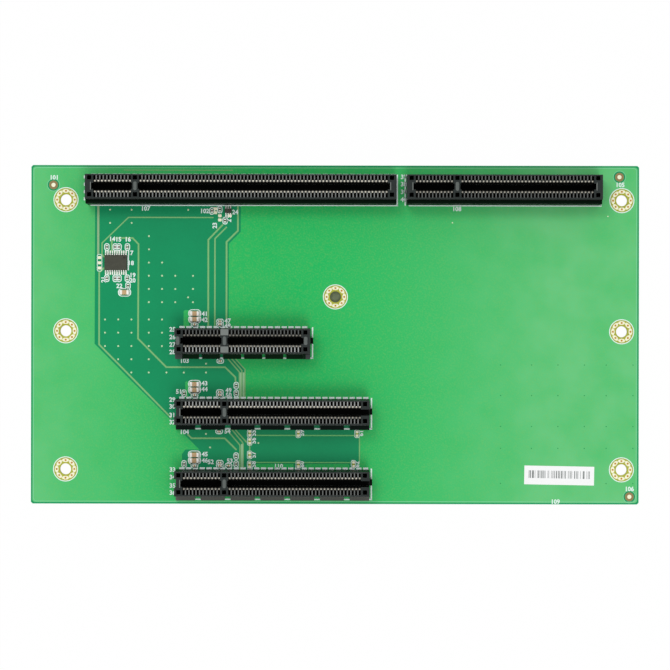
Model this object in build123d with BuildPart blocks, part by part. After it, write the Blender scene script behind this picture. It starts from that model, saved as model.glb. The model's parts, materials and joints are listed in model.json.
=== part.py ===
from build123d import *
import os

# Riser card backplane: a flat circuit board that carries five edge-card slots,
# a small clock chip, a logic chip and their capacitors and resistors.
# It lies on its underside, with the origin under the middle of the board.

os.makedirs("parts", exist_ok=True)

# Circuit board
board_length = 175.0
board_width = 97.5
board_thickness = 1.6
board_corner_cut = 0.5
mounting_hole_diameter = 3.3
left_hole_inset = 10.0
right_hole_inset = 5.0
end_hole_inset = 10.0
middle_hole_y = 1.0
center_hole_place = (0.1, 10.9)

# Card slot, across its row: north is towards +Y and south towards -Y, from the line of the card
slot_height = 11.25
north_base_reach = 3.6
north_top_reach = 3.4
south_base_reach = 3.82
south_top_reach = 3.62
card_slot_width = 1.8
card_slot_floor = 3.0
cavity_north_reach = 3.05
cavity_south_reach = 3.2
cavity_floor = 4.2
core_out_size = 1.25
core_out_depth = 6.0
core_out_offset = 2.4
step_reach = 4.9
step_height = 9.0
foot_reach = 5.25
foot_height = 2.2
end_lug_width = 1.8
end_lug_reach = 0.8
end_recess_width = 2.6
end_recess_depth = 0.55
end_block_width = 2.05
end_block_height = 7.0

# Card slot, along its row
contact_pitch = 1.0
contacts_before_key = 11
key_step = 3.0
key_rib_width = 1.6
first_margin = 2.75
last_margin = 2.85
card_slot_overrun = 1.05
row_overrun = 0.35
core_out_overrun = 1.5

# Slots, by the side of the first contact and the line of the card
upper_row_y = 42.2
slot_spacing = 20.32
lower_slot_y = -42.4
middle_slot_y = lower_slot_y + slot_spacing
short_slot_y = middle_slot_y + slot_spacing
long_slot_first_x = -68.4
upper_slot_first_x = 23.2
lower_slots_first_x = -42.92
short_foot_gap_width = 0.9
short_foot_gap_pitch = 6.05
long_foot_gap_width = 1.7
long_foot_gap_pitch = 8.56
short_foot_first_gap = 7.05
long_foot_first_gap = 6.35
last_foot_gap_clearance = 4.0

# Spring contact, as a bent strip that leans towards the card
contact_width = 0.5
contact_foot_outer = 3.0
contact_foot_width = 0.45
contact_nose_reach = 0.95
contact_nose_thickness = 0.4
contact_nose_drop = 2.4
contact_tip_reach = 1.65
contact_tip_drop = 1.0

# Chips
clock_chip_place = (-63.1, 20.65)
clock_chip_length = 6.5
clock_chip_width = 4.4
clock_chip_height = 1.1
clock_chip_lead_pitch = 0.65
clock_chip_leads_per_side = 10
logic_chip_place = (-30.8, 35.6)
logic_chip_length = 2.0
logic_chip_width = 1.3
logic_chip_height = 0.9
logic_chip_lead_pitch = 0.65
logic_chip_leads_per_side = 3
chip_standoff = 0.1
lead_thickness = 0.15
lead_width = 0.26
lead_foot = 0.45
lead_reach = 1.0

# Bulk capacitors, two beside each lower slot and one by the clock chip
bulk_length = 2.3
bulk_width = 1.3
bulk_height = 1.25
bulk_terminal_length = 0.45
bulk_column_x = -40.4
bulk_row_offsets = (7.8, 6.15)
chip_bulk_place = (-60.6, 12.1)

# Small capacitors and resistors
small_length = 1.0
small_width = 0.55
small_height = 0.5
resistor_height = 0.35
slot_capacitor_places = ((-40.4, 4.65), (-33.1, 5.55), (-33.1, 4.65))
other_capacitor_places = ((-33.0, -7.6), (-33.3, -27.9), (-30.6, -37.7))
slot_resistor_places = ((-43.4, 5.15), (-28.4, 7.4), (-28.4, 5.15))
chip_resistor_xs = (-2.6, -0.2, 0.9, 3.3)
chip_resistor_offset = 4.5
clock_strap_places = ((-59.6, 14.0), (-31.7, 32.8), (-35.5, 35.6), (-33.2, 36.0))

# Paper label
label_place = (64.6, -40.4)
label_length = 20.1
label_width = 5.4
label_thickness = 0.1
label_tilt = -1.0

slot_top = board_thickness + slot_height
mount_left_x = left_hole_inset - board_length / 2
mount_right_x = board_length / 2 - right_hole_inset
mount_edge_y = board_width / 2 - end_hole_inset


def contact_xs(count, first_x):
    """Places of the contacts of one row, with the wider step over the key."""
    step = key_step - contact_pitch
    return [
        first_x + i * contact_pitch + (step if i >= contacts_before_key else 0)
        for i in range(count)
    ]


def circuit_board():
    """Fibreglass board with six edge holes and one hole near the middle."""
    hole_places = [(x, y) for x in (mount_left_x, mount_right_x)
                   for y in (-mount_edge_y, middle_hole_y, mount_edge_y)]
    with BuildPart() as board:
        with BuildSketch():
            Rectangle(board_length, board_width)
            chamfer(vertices(), board_corner_cut)
            with Locations(*hole_places, center_hole_place):
                Circle(mounting_hole_diameter / 2, mode=Mode.SUBTRACT)
        extrude(amount=board_thickness)
    return board.part


def span(start, end, axis_y, width):
    """Rectangle from one x to another, centred on a slot's line."""
    with Locations(((start + end) / 2, axis_y)):
        Rectangle(end - start, width)


def body_section(axis_y, reach, height):
    """Corners of a slot body's section: two walls that lean in, and a foot or step on the south side."""
    lean = (south_base_reach - south_top_reach) * height / slot_height
    return [
        (axis_y - reach, board_thickness),
        (axis_y - reach, board_thickness + height),
        (axis_y - south_base_reach + lean, board_thickness + height),
        (axis_y - south_top_reach, slot_top),
        (axis_y + north_top_reach, slot_top),
        (axis_y + north_base_reach, board_thickness),
    ]


def slot_housing(xs, axis_y, reach, height, gaps=None, open_end=False, short_slot=False):
    """Moulded slot body, with its card slot, contact troughs, key, core-outs and foot.

    reach and height are those of the foot or step on the south side. gaps is the first gap, pitch
    and width of the cuts in a foot, and a slot with them has a recess and a lug at its ends.
    The short slot has tall blocks at the ends of its foot, and its key isn't cored."""
    left, right = xs[0] - first_margin, xs[-1] + last_margin
    before_key, after_key = xs[:contacts_before_key], xs[contacts_before_key:]
    key_x = (before_key[-1] + after_key[0]) / 2
    card_start, card_end = xs[0] - card_slot_overrun, xs[-1] + card_slot_overrun
    if open_end:
        card_end = right + end_lug_reach
    trough_y = axis_y + (cavity_north_reach - cavity_south_reach) / 2
    trough_width = cavity_north_reach + cavity_south_reach
    core_xs = [xs[0] - core_out_overrun, xs[-1] + core_out_overrun]
    if not short_slot:
        core_xs.append(key_x)

    with BuildPart() as housing:
        with BuildSketch(Plane.YZ.offset(left)):
            with BuildLine():
                Polyline(*body_section(axis_y, reach, height), close=True)
            make_face()
        extrude(amount=right - left)
        if gaps:
            with BuildSketch(Plane.XY.offset(board_thickness)):
                with Locations((right, axis_y)):
                    Rectangle(2 * end_lug_reach, end_lug_width)
            extrude(amount=foot_height)
            gap_offset, gap_pitch, gap_width = gaps
            gap_count = int((right - left - gap_offset - last_foot_gap_clearance) // gap_pitch) + 1
            gap_depth = reach - south_base_reach
            first_gap = left + gap_offset
            with BuildSketch(Plane.XY.offset(board_thickness)):
                with Locations(*[(first_gap + i * gap_pitch, axis_y - reach + gap_depth / 2)
                                 for i in range(gap_count)]):
                    Rectangle(gap_width, gap_depth)
            extrude(amount=height, mode=Mode.SUBTRACT)
            with BuildSketch(Plane.XY.offset(board_thickness)):
                with Locations((left, axis_y)):
                    Rectangle(2 * end_recess_depth, end_recess_width)
            extrude(amount=slot_height, mode=Mode.SUBTRACT)
        if short_slot:
            with BuildSketch(Plane.XY.offset(board_thickness)):
                with Locations(*[(x, axis_y - reach / 2)
                                 for x in (left + end_block_width / 2, right - end_block_width / 2)]):
                    Rectangle(end_block_width, reach)
            extrude(amount=end_block_height)
        with BuildSketch(Plane.XY.offset(slot_top)):
            span(card_start, key_x - key_rib_width / 2, axis_y, card_slot_width)
            span(key_x + key_rib_width / 2, card_end, axis_y, card_slot_width)
        extrude(amount=card_slot_floor - slot_height, mode=Mode.SUBTRACT)
        with BuildSketch(Plane.XY.offset(slot_top)):
            for row in (before_key, after_key):
                span(row[0] - row_overrun, row[-1] + row_overrun, trough_y, trough_width)
        extrude(amount=cavity_floor - slot_height, mode=Mode.SUBTRACT)
        with BuildSketch(Plane.XY.offset(slot_top)):
            with Locations(*[(x, axis_y + side * core_out_offset) for x in core_xs for side in (-1, 1)]):
                Rectangle(core_out_size, core_out_size)
        extrude(amount=-core_out_depth, mode=Mode.SUBTRACT)
    return housing.part


def contact_pair():
    """Two facing spring contacts, each a strip bent to a nose that presses on the card."""
    foot_z = board_thickness + cavity_floor
    nose_z = slot_top - contact_nose_drop
    strip = [
        (contact_foot_outer, foot_z),
        (contact_foot_outer - contact_foot_width, foot_z),
        (contact_nose_reach, nose_z),
        (contact_tip_reach, slot_top - contact_tip_drop),
        (contact_nose_reach + contact_nose_thickness, nose_z),
    ]
    with BuildPart() as pair:
        with BuildSketch(Plane.YZ):
            with BuildLine():
                Polyline(*strip, close=True)
            make_face()
            mirror(about=Plane.YZ)
        extrude(amount=contact_width / 2, both=True)
    return pair.part


def slot_contacts(xs, axis_y):
    """Both rows of contacts of one slot."""
    pair = contact_pair()
    with BuildPart() as contacts:
        with Locations(*[(x, axis_y) for x in xs]):
            add(pair)
    return contacts.part


def chip_body(place, length, width, height):
    """Moulded chip package that stands clear of the board."""
    with BuildPart() as body:
        with BuildSketch(Plane.XY.offset(board_thickness + chip_standoff)):
            with Locations(place):
                Rectangle(length, width)
        extrude(amount=height)
    return body.part


def chip_leads(place, width, height, pitch, count):
    """Leads along the two long sides of a chip, sloping down to their feet on the board."""
    root_y = place[1] + width / 2
    root_z = board_thickness + chip_standoff + (height - lead_thickness) / 2
    lead = [
        (root_y, root_z + lead_thickness),
        (root_y + lead_reach, board_thickness),
        (root_y + lead_reach - lead_foot, board_thickness),
        (root_y, root_z),
    ]
    first_x = place[0] - (count - 1) * pitch / 2
    with BuildPart() as leads:
        for i in range(count):
            with BuildSketch(Plane.YZ.offset(first_x + i * pitch)):
                with BuildLine():
                    Polyline(*lead, close=True)
                make_face()
            extrude(amount=lead_width / 2, both=True)
        mirror(about=Plane.XZ.offset(-place[1]))
    return leads.part


def boxes_on_board(places, length, width, height):
    """Equal rectangular parts soldered at each place."""
    with BuildPart() as boxes:
        with BuildSketch(Plane.XY.offset(board_thickness)):
            with Locations(*places):
                Rectangle(length, width)
        extrude(amount=height)
    return boxes.part


def paper_label():
    """Thin label stuck on the board, a little off square."""
    with BuildPart() as label:
        with BuildSketch(Plane.XY.offset(board_thickness)):
            with Locations(label_place):
                Rectangle(label_length, label_width, rotation=label_tilt)
        extrude(amount=label_thickness)
    return label.part


def keep(part, name):
    """Label a finished piece and write it."""
    part.label = name
    export_step(part, f"parts/{name}.step")


long_xs = contact_xs(82, long_slot_first_x)
upper_xs = contact_xs(49, upper_slot_first_x)
lower_xs = contact_xs(49, lower_slots_first_x)
short_xs = contact_xs(32, lower_slots_first_x)
lower_axes = (short_slot_y, middle_slot_y, lower_slot_y)

keep(circuit_board(), "circuit_board")

keep(slot_housing(long_xs, upper_row_y, step_reach, step_height), "slot_housing_16_lane")
keep(slot_housing(upper_xs, upper_row_y, step_reach, step_height), "slot_housing_8_lane_upper")
short_foot_gaps = (short_foot_first_gap, short_foot_gap_pitch, short_foot_gap_width)
long_foot_gaps = (long_foot_first_gap, long_foot_gap_pitch, long_foot_gap_width)
keep(slot_housing(short_xs, short_slot_y, foot_reach, foot_height, short_foot_gaps, short_slot=True),
     "slot_housing_4_lane")
for place, y in (("middle", middle_slot_y), ("lower", lower_slot_y)):
    keep(slot_housing(lower_xs, y, foot_reach, foot_height, long_foot_gaps, open_end=True),
         f"slot_housing_8_lane_{place}")

keep(slot_contacts(long_xs, upper_row_y), "slot_contacts_16_lane")
keep(slot_contacts(upper_xs, upper_row_y), "slot_contacts_8_lane_upper")
keep(slot_contacts(short_xs, short_slot_y), "slot_contacts_4_lane")
keep(slot_contacts(lower_xs, middle_slot_y), "slot_contacts_8_lane_middle")
keep(slot_contacts(lower_xs, lower_slot_y), "slot_contacts_8_lane_lower")

keep(chip_body(clock_chip_place, clock_chip_length, clock_chip_width, clock_chip_height),
     "clock_chip_body")
keep(chip_leads(clock_chip_place, clock_chip_width, clock_chip_height, clock_chip_lead_pitch,
                clock_chip_leads_per_side), "clock_chip_leads")
keep(chip_body(logic_chip_place, logic_chip_length, logic_chip_width, logic_chip_height),
     "logic_chip_body")
keep(chip_leads(logic_chip_place, logic_chip_width, logic_chip_height, logic_chip_lead_pitch,
                logic_chip_leads_per_side), "logic_chip_leads")

bulk_places = [(bulk_column_x, y + up) for y in lower_axes for up in bulk_row_offsets]
bulk_places.append(chip_bulk_place)
bulk_ceramic_length = bulk_length - 2 * bulk_terminal_length
terminal_shift = (bulk_ceramic_length + bulk_terminal_length) / 2
keep(boxes_on_board(bulk_places, bulk_ceramic_length, bulk_width, bulk_height),
     "bulk_capacitor_bodies")
keep(boxes_on_board([(x + side * terminal_shift, y) for x, y in bulk_places for side in (-1, 1)],
                    bulk_terminal_length, bulk_width, bulk_height), "bulk_capacitor_terminals")

small_capacitor_places = [(x, y + up) for y in lower_axes for x, up in slot_capacitor_places]
small_capacitor_places.extend(other_capacitor_places)
keep(boxes_on_board(small_capacitor_places, small_length, small_width, small_height),
     "small_capacitors")

resistor_places = [(x, y + up) for y in (middle_slot_y, lower_slot_y)
                   for x, up in slot_resistor_places]
resistor_places.extend((clock_chip_place[0] + x, clock_chip_place[1] + side * chip_resistor_offset)
                       for x in chip_resistor_xs for side in (-1, 1))
resistor_places.extend(clock_strap_places)
keep(boxes_on_board(resistor_places, small_width, small_length, resistor_height),
     "chip_resistors")

keep(paper_label(), "paper_label")
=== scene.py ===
"""Finish of a riser card backplane: printed board, edge-card slots and small soldered parts."""
import json
import math

import bmesh
import bpy
import numpy as np
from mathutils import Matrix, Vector


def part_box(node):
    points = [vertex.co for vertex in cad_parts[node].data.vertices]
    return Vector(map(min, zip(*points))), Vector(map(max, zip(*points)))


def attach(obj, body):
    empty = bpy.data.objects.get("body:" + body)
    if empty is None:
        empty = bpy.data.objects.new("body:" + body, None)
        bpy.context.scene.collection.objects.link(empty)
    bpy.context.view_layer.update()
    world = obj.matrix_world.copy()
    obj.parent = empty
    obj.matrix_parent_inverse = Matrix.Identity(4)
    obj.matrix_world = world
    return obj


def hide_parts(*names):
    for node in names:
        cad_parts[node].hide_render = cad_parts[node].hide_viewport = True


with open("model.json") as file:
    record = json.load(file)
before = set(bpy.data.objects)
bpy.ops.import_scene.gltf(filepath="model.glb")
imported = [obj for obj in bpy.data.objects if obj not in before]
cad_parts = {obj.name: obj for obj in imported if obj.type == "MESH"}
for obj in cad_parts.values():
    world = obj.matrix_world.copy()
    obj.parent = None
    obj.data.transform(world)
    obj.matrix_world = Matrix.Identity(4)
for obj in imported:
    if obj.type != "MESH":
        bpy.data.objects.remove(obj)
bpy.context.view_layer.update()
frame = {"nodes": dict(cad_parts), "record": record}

bl_info = {
    "name": "Riser card backplane",
    "version": (1, 0, 0),
    "blender": (4, 5, 0),
    "location": "3D View > Sidebar > Backplane",
    "description": "Dresses a backplane board with its copper, print, slots and soldered parts",
    "category": "Object",
}

MM = 0.001

SLOTS = ("16_lane", "8_lane_upper", "4_lane", "8_lane_middle", "8_lane_lower")
LOWER_SLOTS = ("4_lane", "8_lane_middle", "8_lane_lower")
CONTACTS_BEFORE_KEY = 11
CONTACT_PITCH = 1.0 * MM
# From a slot's middle line to the outside of its plain south wall, and the reach of a 4-lane end block
WALL_REACH = 3.85 * MM
END_BLOCK = Vector((2.1, 0.0, 6.9)) * MM

BOARD_LOW, BOARD_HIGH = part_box("circuit_board")
BOARD_TOP = BOARD_HIGH.z
SLOT_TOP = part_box("slot_housing_16_lane")[1].z


def display(red, green, blue):
    """Linear colour of a display colour given in parts of 255."""
    share = np.array([red, green, blue]) / 255
    linear = np.where(share <= 0.04045, share / 12.92, ((share + 0.055) / 1.055) ** 2.4)
    return tuple(round(float(v), 4) for v in linear)


def opaque(colour):
    """The same colour with full alpha, as node sockets take it."""
    return (*colour, 1.0)


# Sizes and colours that a user would change


def length(name, description, millimetres):
    """A size that the panel shows, given in millimetres."""
    return bpy.props.FloatProperty(
        name=name, description=description, default=millimetres * MM, min=0.0, unit="LENGTH", precision=5
    )


def colour(name, description, value):
    """A colour that the panel shows."""
    return bpy.props.FloatVectorProperty(
        name=name, description=description, default=value, size=3, min=0.0, max=1.0, subtype="COLOR"
    )


class BoardLook(bpy.types.PropertyGroup):
    """Copper, solder mask and plating of the board."""

    copper_margin: length("Copper margin", "Bare strip between the board's edge and its copper", 0.45)
    edge_round: length("Edge round", "Width of the rounding along the board's cut edge", 0.12)
    copper_rise: length("Copper rise", "How far mask over copper stands above mask over bare board", 0.02)
    trace_rise: length("Trace rise", "How far a trace stands above the board", 0.035)
    copper: colour("Mask over copper", "Colour of the mask with copper under it", display(26, 190, 96))
    bare: colour("Mask over bare board", "Colour of the mask with no copper under it", display(10, 148, 94))
    trace: colour("Mask over traces", "Colour of the mask along a trace", display(132, 193, 124))
    # In this colour the line along the copper's edge is a painted highlight of its raised edge; the cut edge
    # shows the laminate.
    edge: colour("Edge", "Cut edge of the board and the line along it", display(128, 214, 160))
    laminate: colour("Laminate", "Bare glass-fibre round a sighting mark", display(158, 134, 80))
    plating: colour("Plating", "Bare gold-plated copper round the screw holes", display(182, 188, 44))
    solder: colour("Solder", "Tinned ovals and pads", display(255, 255, 228))


class PrintLook(bpy.types.PropertyGroup):
    """White print on the board."""

    ink: colour("Ink", "Colour of the printed lines", display(240, 255, 251))
    ink_rise: length("Ink rise", "How far the ink stands above the board", 0.05)
    outline_width: length("Outline width", "Width of the lines round the slots", 0.44)
    fine_width: length("Fine width", "Width of the lines round small parts", 0.27)
    dash: length("Dash", "Length of one dash of the broken lines", 1.5)
    dash_step: length("Dash step", "Distance from one dash to the next", 1.96)
    number_height: length("Number height", "Height of the printed numbers", 1.25)


class SlotLook(bpy.types.PropertyGroup):
    """Moulded slots and their spring contacts."""

    rib_width: length("Rib width", "Wall between two contacts of a row", 0.34)
    rib_outer: length("Rib outer reach", "Distance of a rib's outer end from the slot's middle line", 3.2)
    rib_inner: length("Rib inner reach", "Distance of a rib's inner end from the slot's middle line", 0.95)
    edge_round: length("Edge round", "Width of the rounding along the moulded edges", 0.12)
    plastic: colour("Plastic", "Moulded walls of the slots", display(12, 14, 13))
    # The paler top is a painted sheen: top faces painted lighter than the walls, as light from above falls
    # on them.
    sheen_lit_top: colour("Plastic top", "Top faces, paler from the sheen of the mould", display(47, 52, 51))
    rounded_edge: colour("Rounded edge", "Moulded edges, where they catch the light", display(96, 103, 100))
    # The contacts' near-white colour, scaled for each row, is a painted highlight of their plated tips.
    contact: colour("Contact", "Plated spring strip", display(255, 250, 232))


class PartsLook(bpy.types.PropertyGroup):
    """Chips, capacitors, resistors and the label."""

    chip: colour("Chip", "Moulded chip bodies", display(80, 81, 69))
    ceramic: colour("Ceramic", "Fired bodies of the capacitors", display(214, 176, 126))
    tin: colour("Tin", "Tinned leads and end caps", display(255, 254, 247))
    paper: colour("Paper", "Coated paper of the label", display(254, 255, 255))
    bar: colour("Bars", "Grey bars printed on the label", display(66, 72, 72))


class StageLook(bpy.types.PropertyGroup):
    """Floor, light and camera."""

    camera_rise: length("Camera rise", "Height of the camera above the board's top", 833.6)
    camera_lens: bpy.props.FloatProperty(
        name="Lens", description="Focal length of the camera in millimetres", default=155.6, min=1.0
    )
    camera_turn: bpy.props.FloatProperty(
        name="Camera turn", description="Turn of the camera about its line of sight",
        default=math.radians(0.1), subtype="ANGLE",
    )
    sky: bpy.props.FloatProperty(
        name="Sky", description="Strength of the even light from all round", default=0.6, min=0.0
    )
    lamp: bpy.props.FloatProperty(
        name="Lamp", description="Power of each soft lamp", default=6.1, min=0.0, unit="POWER"
    )


# Shader maths


class Socket:
    """An output socket that Python arithmetic works on: each operator adds a Math node."""

    def __init__(self, finish, out):
        self.finish = finish
        self.out = out

    def maths(self, operation, *values):
        return self.finish.node("ShaderNodeMath", {"operation": operation}, dict(enumerate(values)))

    def __add__(self, other):
        return self.maths("ADD", self, other)

    __radd__ = __add__

    def __sub__(self, other):
        return self.maths("SUBTRACT", self, other)

    def __rsub__(self, other):
        return self.maths("SUBTRACT", other, self)

    def __mul__(self, other):
        return self.maths("MULTIPLY", self, other)

    __rmul__ = __mul__

    def __gt__(self, other):
        return self.maths("GREATER_THAN", self, other)

    def __lt__(self, other):
        return self.maths("LESS_THAN", self, other)

    def clamped(self):
        return self.maths("MINIMUM", self.maths("MAXIMUM", self, 0.0), 1.0)


class Finish:
    """A material in the making: one shader whose constants are set on its own sockets."""

    def __init__(self, name, base, **constants):
        self.material = bpy.data.materials.new(name)
        self.material.use_nodes = True
        self.tree = self.material.node_tree
        self.shader = self.tree.nodes["Principled BSDF"]
        self.shader.inputs["Base Color"].default_value = opaque(base)
        for socket_name, value in constants.items():
            self.shader.inputs[socket_name.replace("_", " ")].default_value = value

    def node(self, kind, settings, sockets, output=0):
        """One node of that kind, its settings set first, then its sockets' values or links."""
        made = self.tree.nodes.new(kind)
        for name, value in settings.items():
            setattr(made, name, value)
        for key, value in sockets.items():
            if isinstance(value, Socket):
                self.tree.links.new(value.out, made.inputs[key])
            else:
                made.inputs[key].default_value = value
        return Socket(self, made.outputs[output])

    def place(self):
        """Object coordinates, in metres."""
        return self.node("ShaderNodeTexCoord", {}, {}, "Object")

    def axis(self, index):
        """One coordinate of the place: 0 is along the board, 1 across it, 2 up."""
        return self.node("ShaderNodeSeparateXYZ", {}, {0: self.place()}, index)

    def noise(self, grain, detail=2.0):
        """Soft noise whose lumps are about grain metres wide, from 0 to 1."""
        sockets = {"Vector": self.place(), "Scale": 1 / grain, "Detail": detail}
        return self.node("ShaderNodeTexNoise", {}, sockets)

    def mix(self, share, first, second):
        """Colour that goes from the first to the second as share goes from 0 to 1."""
        return self.node("ShaderNodeMix", {"data_type": "RGBA"}, {0: share, 6: first, 7: second}, 2)

    def feed(self, socket_name, value):
        """Links a value or colour to one of the shader's sockets."""
        self.tree.links.new(value.out, self.shader.inputs[socket_name])
        return self

    def bump(self, height, depth):
        """Bump from a height of 0 to 1 that stands for depth metres."""
        made = self.node("ShaderNodeBump", {}, {"Height": height, "Distance": depth, "Strength": 1.0})
        return self.feed("Normal", made)


def clouded_finish(name, base, darker, grain, share=0.5, grit=None, **constants):
    """A finish clouded towards a darker colour by noise in two sizes, the finer of a grain in
    millimetres. Its grit, where it has one, is the grain and the depth of its bumps in millimetres."""
    finish = Finish(name, base, **constants)
    cloud = finish.noise(grain * MM) * share + finish.noise(grain * MM * 9) * share - 0.25 * share
    finish.feed("Base Color", finish.mix(cloud.clamped(), opaque(base), opaque(darker)))
    return finish.bump(finish.noise(grit[0] * MM), grit[1] * MM) if grit else finish


def shaded(value, factor):
    """The same colour, lighter or darker by a factor."""
    return tuple(min(v * factor, 1.0) for v in value)


def bare_mask_finish(look):
    """Green mask on bare laminate on top and below; the cut edge and the hole walls show the laminate."""
    finish = Finish("mask_over_bare_board", look.bare, Roughness=0.36, Specular_IOR_Level=0.12)
    speckle = finish.noise(0.5 * MM) * 0.5 + finish.noise(6 * MM) * 0.5
    green = finish.mix(speckle, opaque(shaded(look.bare, 1.12)), opaque(shaded(look.bare, 0.88)))
    rise = finish.axis(2)
    inside = (rise > BOARD_LOW.z + 0.03 * MM) * (rise < BOARD_TOP - 0.03 * MM)
    finish.feed("Base Color", finish.mix(inside, green, opaque(look.edge)))
    finish.feed("Roughness", inside * 0.4 + 0.32)
    return finish.bump(finish.noise(0.6 * MM), 0.006 * MM)


def copper_mask_finish(look):
    """Green mask on copper: light, clouded, with a fine yellow speckle. It turns paler towards the
    board's ends, with the square of the distance from a line a little left of the middle: partly the
    mask's own unevenness, partly a painted sheen of the lamps' gloss."""
    finish = Finish("mask_over_copper", look.copper, Roughness=0.34, Specular_IOR_Level=0.13)
    fine = finish.noise(0.45 * MM, 3.0)
    wide = finish.noise(9 * MM)
    # Paler towards the ends: part the mask's own tone, part painted sheen.
    ends = finish.axis(0) * (1 / BOARD_HIGH.x) + 0.18
    tone_and_sheen_share = (ends * ends * 1.3).clamped()
    paler_tone_and_sheen = finish.mix(tone_and_sheen_share, opaque(look.copper), opaque(display(104, 202, 128)))
    clouded = finish.mix((wide * 2.2 - 0.7).clamped() * 0.5, paler_tone_and_sheen, opaque(display(52, 190, 98)))
    olive = ((fine * 3.0) - 1.35).clamped() * 0.3
    finish.feed("Base Color", finish.mix(olive, clouded, opaque(display(124, 192, 96))))
    finish.feed("Roughness", wide * 0.12 + 0.28)
    return finish.bump(finish.noise(0.5 * MM), 0.005 * MM)


def plain_mask_finish(name, base):
    """Mask of one plain colour, only faintly clouded."""
    return clouded_finish(name, base, shaded(base, 0.86), 0.7, Roughness=0.36, Specular_IOR_Level=0.2)


def plain_plastic_finish(name, base):
    """Moulded plastic of one plain colour, faintly clouded."""
    return clouded_finish(name, base, shaded(base, 0.7), 0.3, Roughness=0.45, Specular_IOR_Level=0.2)


def ink_finish(look):
    """White screen-printed ink, a little thin in places."""
    thin = shaded(look.ink, 0.88)
    return clouded_finish("printed_ink", look.ink, thin, 0.35, 0.4, Roughness=0.6, Specular_IOR_Level=0.2)


def plating_finish(look):
    """Gold-plated copper with a rubbed look."""
    rubbed = display(140, 138, 18)
    return clouded_finish("gold_plating", look.plating, rubbed, 0.4, 0.6, (0.2, 0.01),
                          Metallic=0.2, Roughness=0.42)


def solder_finish(look):
    """Tinned copper, bright and faintly uneven."""
    dull = display(240, 236, 190)
    return clouded_finish("solder", look.solder, dull, 0.5, 0.5, (0.3, 0.01), Roughness=0.35)


def fibre_finish(look):
    """Bare laminate, brown where the mask leaves it open round a sighting mark."""
    return clouded_finish("bare_laminate", look.laminate, shaded(look.laminate, 0.7), 0.2, 0.8,
                          Roughness=0.6)


def slot_plastic_finish(look, name, ledge_light_and_shade):
    """Moulded black plastic: top faces painted paler, a painted sheen of the light from above; walls deep;
    the foot or step in painted light and shade of its own; and the tops of the 4-lane slot's end blocks
    painted grey, as lit."""
    finish = Finish("slot_plastic_" + name, look.plastic, Roughness=0.4, Specular_IOR_Level=0.03)
    # The top faces, found by height, take the painted sheen.
    top = (finish.axis(2) > SLOT_TOP - look.edge_round) * 1.0
    grain = finish.noise(0.35 * MM, 4.0)
    body = finish.mix(grain, opaque(shaded(look.plastic, 0.75)), opaque(shaded(look.plastic, 1.25)))
    face = finish.mix(grain, opaque(shaded(look.sheen_lit_top, 0.8)), opaque(shaded(look.sheen_lit_top, 1.3)))
    _, middle = slot_places(name)
    # Beyond the plain south wall the foot or step is painted in its own light and shade.
    outside = finish.axis(1) < middle - WALL_REACH
    painted_ledge_tone = finish.mix(grain, opaque(shaded(ledge_light_and_shade, 0.8)), opaque(shaded(ledge_light_and_shade, 1.2)))
    # The tops of the 4-lane slot's tall end blocks are painted grey, as lit.
    if name == "4_lane":
        low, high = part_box("slot_housing_" + name)
        ends = (finish.axis(0) < low.x + END_BLOCK.x) + (finish.axis(0) > high.x - END_BLOCK.x)
        upper = ends * (finish.axis(2) > BOARD_TOP + END_BLOCK.z)
        painted_ledge_tone = finish.mix(upper, painted_ledge_tone, opaque(display(72, 77, 76)))
    body = finish.mix(outside, body, painted_ledge_tone)
    finish.feed("Base Color", finish.mix(top, body, face))
    finish.feed("Roughness", grain * 0.2 + 0.32)
    return finish.bump(grain, 0.012 * MM)


def rounded_edge_finish(look):
    """The same plastic along its rounded edges, which catch the light."""
    # The rounded edges' colour is a painted highlight, clouded at random towards a dimmer painted highlight.
    worn = shaded(look.rounded_edge, 0.5)
    return clouded_finish("slot_rounded_edges", look.rounded_edge, worn, 0.5, 0.9, Roughness=0.4)


def two_row_finish(kind, name, north, south, depth, **constants):
    """A finish of two painted tones of light, one for each row of a slot, that falls to near black below a
    depth as painted shade inside the slot.
    """
    _, middle = slot_places(name)
    finish = Finish(kind + "_" + name, north, **constants)
    tone = finish.mix(finish.axis(1) > middle, opaque(south), opaque(north))
    cloud = (finish.noise(0.6 * MM) * 1.6 - 0.5).clamped() * 0.5
    tone = finish.mix(cloud, tone, opaque(shaded(south, 0.35)))
    lit = ((finish.axis(2) - (SLOT_TOP - depth)) * (1 / (0.3 * MM))).clamped()
    finish.feed("Base Color", finish.mix(lit, opaque(display(14, 13, 11)), tone))
    return finish


def rib_finish(name, north, south):
    """The same plastic on the thin walls, which catch the light and look grey."""
    finish = two_row_finish("slot_rib", name, north, south, 1.6 * MM, Roughness=0.45, Specular_IOR_Level=0.2)
    return finish.bump(finish.noise(0.3 * MM), 0.01 * MM)


def contact_finish(look, name, north, south):
    """Plated spring strip: its tip a painted highlight, bright with a warm cast and glowing by its own
    emission; its lower part in painted shade, as the dark of the slot.
    """
    tones = shaded(look.contact, north), shaded(look.contact, south)
    # The emission makes the painted highlight glow, though the strip is no lamp.
    constants = {"Roughness": 0.35, "Emission_Strength": 0.3}
    finish = two_row_finish("contact_plating", name, *tones, 1.78 * MM, **constants)
    base = finish.shader.inputs["Base Color"].links[0].from_socket
    return finish.feed("Emission Color", Socket(finish, base))


def chip_finish(look):
    """Moulded chip: nearly black, with the fine grit of its filler."""
    return clouded_finish("chip_plastic", look.chip, shaded(look.chip, 0.6), 0.12, 0.9, (0.08, 0.006),
                          Roughness=0.6, Specular_IOR_Level=0.25)


def ceramic_finish(look):
    """Fired ceramic of the capacitors, with a dusty variation."""
    return clouded_finish("capacitor_ceramic", look.ceramic, shaded(look.ceramic, 0.7), 0.3, 0.8,
                          (0.15, 0.006), Roughness=0.45)


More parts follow.
